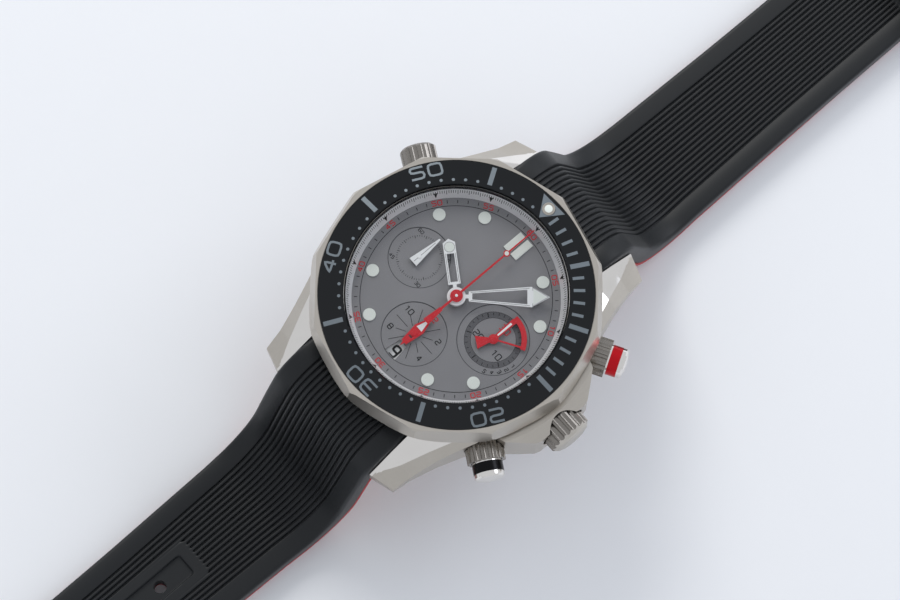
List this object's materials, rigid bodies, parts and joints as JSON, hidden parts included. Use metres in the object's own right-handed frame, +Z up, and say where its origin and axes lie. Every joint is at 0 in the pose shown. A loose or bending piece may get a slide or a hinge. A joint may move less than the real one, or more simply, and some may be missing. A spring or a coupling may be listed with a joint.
{
  "type": "dive watch",
  "caption": "Diver's chronograph wristwatch with turning bezel, three-register dial, crown, coloured pushers and ribbed rubber strap with a pin buckle.",
  "frame": {"origin": "centre of the case back's outer face", "axes": "+Z up through the dial, +Y towards twelve o'clock, +X towards three o'clock"},
  "size_m": [0.0506, 0.24, 0.0337],
  "materials": {
    "titanium_case": "brushed grade 5 titanium",
    "titanium_bezel": "satin titanium with polished scallops",
    "steel_polished": "polished steel",
    "ceramic_black": "polished black ceramic",
    "sapphire": "coated sapphire",
    "gasket_rubber": "moulded nitrile",
    "flange_silver": "silver lacquer with printed track",
    "dial_grey": "matt grey lacquer",
    "lume_white": "luminous compound",
    "hand_white": "white lacquer",
    "hand_red": "red lacquer",
    "ring_red": "red anodised",
    "ring_black": "black anodised",
    "movement_plate": "rhodium plated brass",
    "wheel_gold": "gilt brass",
    "movement_steel": "hardened steel",
    "date_white": "printed white lacquer",
    "strap_rubber": "ribbed moulded rubber",
    "strap_red": "red moulded lining",
    "titanium_buckle": "brushed titanium"
  },
  "bodies": {
    "head": {"case_body": "titanium_case", "case_back": "titanium_case", "case_back_gasket": "gasket_rubber", "crystal": "sapphire", "crystal_gasket": "gasket_rubber", "flange_ring": "flange_silver", "movement_ring": "movement_plate", "bezel_click_spring": "movement_steel", "lug_spring_bars": "steel_polished", "crown_tube": "steel_polished", "pusher_collars": "titanium_bezel", "pusher_springs": "movement_steel", "dial_plate": "dial_grey", "hour_markers": "lume_white", "main_plate": "movement_plate", "train_bridge": "movement_plate", "balance_cock": "movement_plate", "bridge_screws": "movement_steel", "rotor_bearing": "movement_steel", "hairspring": "movement_steel"},
    "bezel": {"bezel_ring": "titanium_bezel", "bezel_insert": "ceramic_black", "bezel_pip": "lume_white"},
    "hour_group": {"hour_hand": "hand_white", "hour_wheel": "wheel_gold"},
    "minute_group": {"minute_hand": "hand_white", "cannon_pinion": "movement_steel"},
    "minute_wheel": {"minute_wheel": "wheel_gold"},
    "chrono_group": {"chrono_seconds_hand": "hand_red", "chrono_runner": "wheel_gold"},
    "minute_counter": {"minute_counter_hand": "hand_red", "minute_counter_wheel": "wheel_gold"},
    "hour_counter": {"hour_counter_hand": "hand_red", "hour_counter_wheel": "wheel_gold"},
    "seconds_group": {"small_seconds_hand": "hand_white", "fourth_wheel": "wheel_gold"},
    "third_wheel": {"third_wheel": "wheel_gold"},
    "barrel": {"barrel": "wheel_gold"},
    "escape_wheel": {"escape_wheel": "movement_steel"},
    "pallet_lever": {"pallet_lever": "movement_steel"},
    "balance_wheel": {"balance_wheel": "wheel_gold"},
    "rotor": {"rotor": "movement_plate"},
    "date_ring": {"date_ring": "date_white"},
    "winding_pinion": {"winding_pinion": "movement_steel"},
    "crown": {"crown": "titanium_bezel", "winding_stem": "movement_steel"},
    "start_pusher": {"start_pusher": "steel_polished", "start_pusher_ring": "ring_red"},
    "reset_pusher": {"reset_pusher": "steel_polished", "reset_pusher_ring": "ring_black"},
    "valve_piston": {"valve_piston": "steel_polished"},
    "valve_crown": {"valve_crown": "titanium_bezel"},
    "strap_long": {"strap_long": "strap_rubber", "strap_long_lining": "strap_red"},
    "strap_short": {"strap_short": "strap_rubber", "strap_short_lining": "strap_red", "buckle_spring_bar": "steel_polished"},
    "sliding_keeper": {"sliding_keeper": "strap_rubber"},
    "buckle_frame": {"buckle_frame": "titanium_buckle"},
    "buckle_tang": {"buckle_tang": "titanium_buckle"}
  },
  "joints": [
    {"name": "bezel_turn", "type": "hinge", "parent": "head", "child": "bezel", "pos_m": [0, 0, 0.008], "axis": [0, 0, 1], "continuous": true},
    {"name": "minute_turn", "type": "hinge", "parent": "head", "child": "minute_group", "pos_m": [0, 0, 0.008], "axis": [0, 0, 1], "continuous": true},
    {"name": "hour_turn", "type": "hinge", "parent": "head", "child": "hour_group", "pos_m": [0, 0, 0.008], "axis": [0, 0, 1], "continuous": true},
    {"name": "minute_wheel_turn", "type": "hinge", "parent": "head", "child": "minute_wheel", "pos_m": [0.00212, 0.00212, 0.008], "axis": [0, 0, 1], "continuous": true},
    {"name": "chrono_turn", "type": "hinge", "parent": "head", "child": "chrono_group", "pos_m": [0, 0, 0.008], "axis": [0, 0, 1], "continuous": true},
    {"name": "minute_counter_turn", "type": "hinge", "parent": "head", "child": "minute_counter", "pos_m": [0.00837, 0, 0.008], "axis": [0, 0, 1], "continuous": true},
    {"name": "hour_counter_turn", "type": "hinge", "parent": "head", "child": "hour_counter", "pos_m": [0, -0.0083, 0.008], "axis": [0, 0, 1], "continuous": true},
    {"name": "seconds_turn", "type": "hinge", "parent": "head", "child": "seconds_group", "pos_m": [-0.00837, 0, 0.008], "axis": [0, 0, 1], "continuous": true},
    {"name": "third_turn", "type": "hinge", "parent": "head", "child": "third_wheel", "pos_m": [-0.00764, 0.00342, 0.008], "axis": [0, 0, 1], "continuous": true},
    {"name": "barrel_turn", "type": "hinge", "parent": "head", "child": "barrel", "pos_m": [-0.0026, 0.0072, 0.008], "axis": [0, 0, 1], "continuous": true},
    {"name": "escape_turn", "type": "hinge", "parent": "head", "child": "escape_wheel", "pos_m": [-0.00781, -0.00315, 0.008], "axis": [0, 0, 1], "continuous": true},
    {"name": "pallet_swing", "type": "hinge", "parent": "head", "child": "pallet_lever", "pos_m": [-0.00715, -0.00582, 0.0069], "axis": [0, 0, 1], "range_deg": [-5, 5]},
    {"name": "balance_swing", "type": "hinge", "parent": "head", "child": "balance_wheel", "pos_m": [-0.0062, -0.0096, 0.006], "axis": [0, 0, 1], "range_deg": [-270, 270], "stiffness_Nm_per_rad": 0.0000002, "deforming": ["hairspring"]},
    {"name": "rotor_turn", "type": "hinge", "parent": "head", "child": "rotor", "pos_m": [0, 0, 0.008], "axis": [0, 0, 1], "continuous": true},
    {"name": "date_turn", "type": "hinge", "parent": "head", "child": "date_ring", "pos_m": [0, 0, 0.008], "axis": [0, 0, 1], "continuous": true},
    {"name": "crown_turn", "type": "hinge", "parent": "head", "child": "winding_pinion", "pos_m": [0.0129, 0, 0.006], "axis": [1, 0, 0], "continuous": true},
    {"name": "crown_pull", "type": "slide", "parent": "winding_pinion", "child": "crown", "axis": [1, 0, 0], "range_m": [0, 0.002]},
    {"name": "start_press", "type": "slide", "parent": "head", "child": "start_pusher", "axis": [-0.866, -0.5, 0], "range_m": [0, 0.001], "stiffness_N_per_m": 100, "springref_m": -0.002, "deforming": ["pusher_springs"]},
    {"name": "reset_press", "type": "slide", "parent": "head", "child": "reset_pusher", "axis": [-0.866, 0.5, 0], "range_m": [0, 0.001], "stiffness_N_per_m": 100, "springref_m": -0.002},
    {"name": "valve_lift", "type": "slide", "parent": "head", "child": "valve_piston", "axis": [-0.8829, 0.4695, 0], "range_m": [0, 0.001]},
    {"name": "valve_turn", "type": "hinge", "parent": "valve_piston", "child": "valve_crown", "pos_m": [-0.02119, 0.01127, 0.006], "axis": [-0.8829, 0.4695, 0], "range_deg": [0, 720]},
    {"name": "strap_long_swing", "type": "hinge", "parent": "head", "child": "strap_long", "pos_m": [0, -0.0222, 0.0034], "axis": [1, 0, 0], "range_deg": [0, 25]},
    {"name": "strap_short_swing", "type": "hinge", "parent": "head", "child": "strap_short", "pos_m": [0, 0.0222, 0.0034], "axis": [-1, 0, 0], "range_deg": [0, 25]},
    {"name": "keeper_slide", "type": "slide", "parent": "strap_short", "child": "sliding_keeper", "axis": [0, 1, 0], "range_m": [-0.004, 0.002]},
    {"name": "buckle_swing", "type": "hinge", "parent": "strap_short", "child": "buckle_frame", "pos_m": [0, 0.1084, -0.01545], "axis": [1, 0, 0], "range_deg": [-40, 55]},
    {"name": "tang_swing", "type": "hinge", "parent": "buckle_frame", "child": "buckle_tang", "pos_m": [0, 0.1084, -0.01545], "axis": [1, 0, 0], "range_deg": [0, 40]}
  ],
  "couplings": [
    {"joint": "minute_wheel_turn", "follows": "minute_turn", "ratio": -0.33333},
    {"joint": "hour_turn", "follows": "minute_turn", "ratio": 0.083333},
    {"joint": "third_turn", "follows": "seconds_turn", "ratio": -0.16667},
    {"joint": "barrel_turn", "follows": "seconds_turn", "ratio": 0.027778},
    {"joint": "escape_turn", "follows": "seconds_turn", "ratio": -7},
    {"joint": "minute_counter_turn", "follows": "chrono_turn", "ratio": 0.033333},
    {"joint": "hour_counter_turn", "follows": "chrono_turn", "ratio": 0.0013889}
  ]
}
